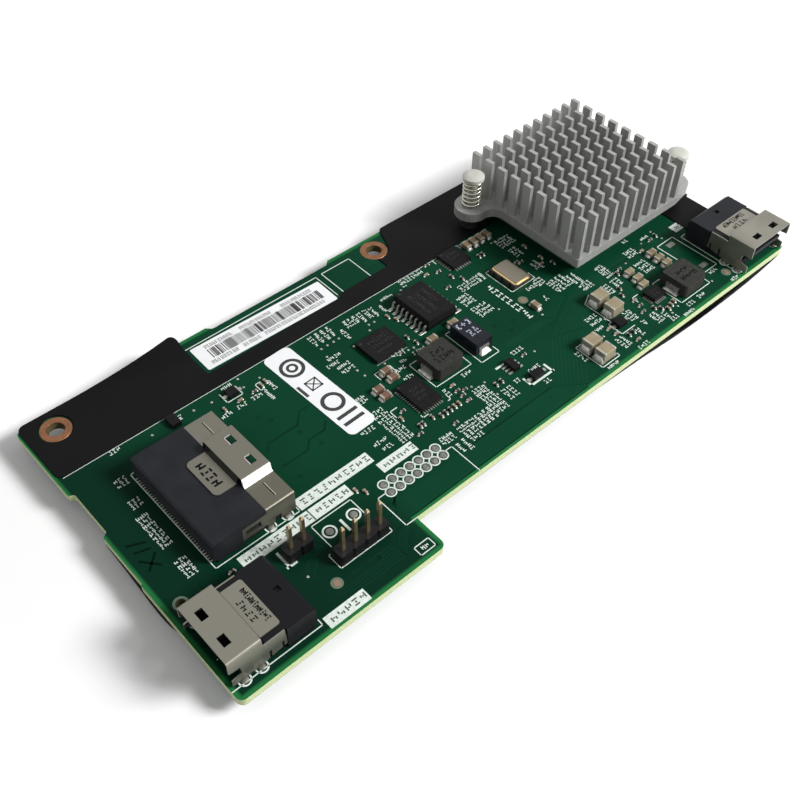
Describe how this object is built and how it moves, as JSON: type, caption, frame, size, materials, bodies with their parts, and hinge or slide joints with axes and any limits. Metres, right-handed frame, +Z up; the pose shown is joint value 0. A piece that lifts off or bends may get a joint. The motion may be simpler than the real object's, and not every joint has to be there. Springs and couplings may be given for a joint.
{
  "type": "raid controller card",
  "caption": "Storage controller card: circuit board with a pin-fin heatsink over its main chip, shielded cable receptacles, pin headers and insulating films.",
  "frame": {"origin": "axis of the left rear mounting hole, at the board's top face", "axes": "+X along the board towards the heatsink, +Y towards the rear edge, +Z up from the component side"},
  "size_m": [0.1459, 0.0672, 0.0185],
  "materials": {
    "laminate": "satin solder mask over glass-epoxy laminate",
    "film": "satin polymer film",
    "aluminium": "extruded and sawn, plain",
    "nylon": "natural nylon",
    "steel": "bright spring steel",
    "substrate": "coated organic substrate",
    "chip_mould": "moulded epoxy",
    "lid_metal": "nickel-plated copper",
    "thermal": "soft thermal pad",
    "nickel_sheet": "nickel-plated sheet",
    "connector_black": "glass-filled polymer",
    "tin": "tin plate",
    "gold": "gold flash",
    "ferrite": "moulded iron powder",
    "package_ceramic": "dark ceramic",
    "lid_plate": "plated lid",
    "capacitor_ceramic": "sintered ceramic with tinned ends",
    "label": "coated paper"
  },
  "bodies": {
    "root": {"circuit_board": "laminate", "top_insulator": "film", "underside_insulator": "film", "controller_chip": "substrate", "chip_lid": "lid_metal", "thermal_pad": "thermal", "heatsink": "aluminium", "push_pins": "nylon", "push_pin_springs": "steel", "port_a_shell": "nickel_sheet", "port_a_housing": "connector_black", "port_a_contacts": "tin", "port_b_shell": "nickel_sheet", "port_b_housing": "connector_black", "port_b_contacts": "tin", "wide_port_shell": "nickel_sheet", "wide_port_housing": "connector_black", "wide_port_contacts": "tin", "header_two_body": "connector_black", "header_four_body": "connector_black", "header_pins": "gold", "inductor_bodies": "ferrite", "inductor_terminals": "tin", "bulk_capacitor_body": "chip_mould", "bulk_capacitor_terminals": "tin", "oscillator_base": "package_ceramic", "oscillator_lid": "lid_plate", "memory_chip_body": "chip_mould", "memory_chip_leads": "tin", "logic_chip": "chip_mould", "power_stage_chip": "chip_mould", "regulator_chip": "chip_mould", "charger_chip": "chip_mould", "mini_semiconductors": "chip_mould", "large_chip_capacitors": "capacitor_ceramic", "medium_chip_capacitors": "capacitor_ceramic", "small_chip_parts": "capacitor_ceramic", "barcode_label": "label", "marks_label": "label"}
  },
  "joints": []
}
